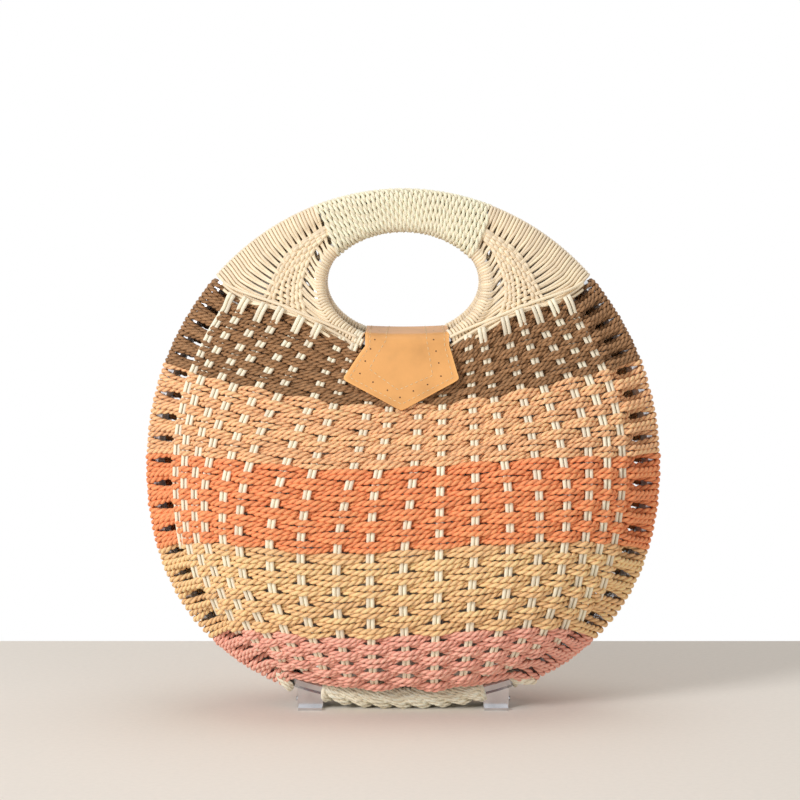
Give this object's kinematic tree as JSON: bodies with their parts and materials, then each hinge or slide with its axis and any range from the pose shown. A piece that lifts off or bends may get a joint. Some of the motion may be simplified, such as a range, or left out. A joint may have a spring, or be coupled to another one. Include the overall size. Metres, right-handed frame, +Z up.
{
  "type": "basket handbag",
  "caption": "Round clamshell basket handbag woven from striped paper cord, with an oval hand hole, a wound grip, wicker panels, a leather flap and chrome feet.",
  "frame": {"origin": "on the surface it stands on, below the middle of the closed bag", "axes": "+Z up, the front half with the leather flap faces -Y, the hinge runs along X under the rim"},
  "size_m": [0.3072, 0.126, 0.3129],
  "materials": {
    "brown_cord": "twisted paper cord, satin",
    "peach_cord": "twisted paper cord, satin",
    "orange_cord": "twisted paper cord, satin",
    "tan_cord": "twisted paper cord, satin",
    "pink_cord": "twisted paper cord, satin",
    "cream_cord": "twisted paper cord, satin",
    "cream_wicker": "smooth rods, satin",
    "lining_cloth": "matt woven cloth",
    "tan_leather": "smooth, semi-matt",
    "steel_tube": "satin",
    "chrome_plate": "polished"
  },
  "bodies": {
    "back_shell": {"back_hoop": "steel_tube", "back_handle_ring": "steel_tube", "back_grip_winding": "cream_cord", "back_stripe_brown": "brown_cord", "back_stripe_peach": "peach_cord", "back_stripe_orange": "orange_cord", "back_stripe_tan": "tan_cord", "back_stripe_pink": "pink_cord", "back_stripe_cream": "cream_cord", "back_wicker_left": "cream_wicker", "back_wicker_right": "cream_wicker", "back_stake_fan": "cream_wicker", "back_lining": "lining_cloth", "back_hinge_leaf_left": "chrome_plate", "back_hinge_leaf_right": "chrome_plate", "closing_strap": "tan_leather", "hinge_pin_left": "steel_tube", "hinge_pin_right": "steel_tube"},
    "front_shell": {"front_hoop": "steel_tube", "front_handle_ring": "steel_tube", "front_grip_winding": "cream_cord", "front_stripe_brown": "brown_cord", "front_stripe_peach": "peach_cord", "front_stripe_orange": "orange_cord", "front_stripe_tan": "tan_cord", "front_stripe_pink": "pink_cord", "front_stripe_cream": "cream_cord", "front_wicker_left": "cream_wicker", "front_wicker_right": "cream_wicker", "front_stake_fan": "cream_wicker", "front_lining": "lining_cloth", "front_hinge_leaf_left": "chrome_plate", "front_hinge_leaf_right": "chrome_plate", "front_snap_plate": "chrome_plate"},
    "flap": {"closing_flap": "tan_leather"}
  },
  "joints": [
    {"name": "shell_open", "type": "hinge", "parent": "back_shell", "child": "front_shell", "pos_m": [0, 0, 0.0045], "axis": [1, 0, 0], "range_deg": [0, 28], "deforming": ["closing_flap"]},
    {"name": "flap_lift", "type": "hinge", "parent": "back_shell", "child": "flap", "pos_m": [0, -0.034, 0.2274], "axis": [-1, 0, 0], "range_deg": [0, 150]}
  ]
}
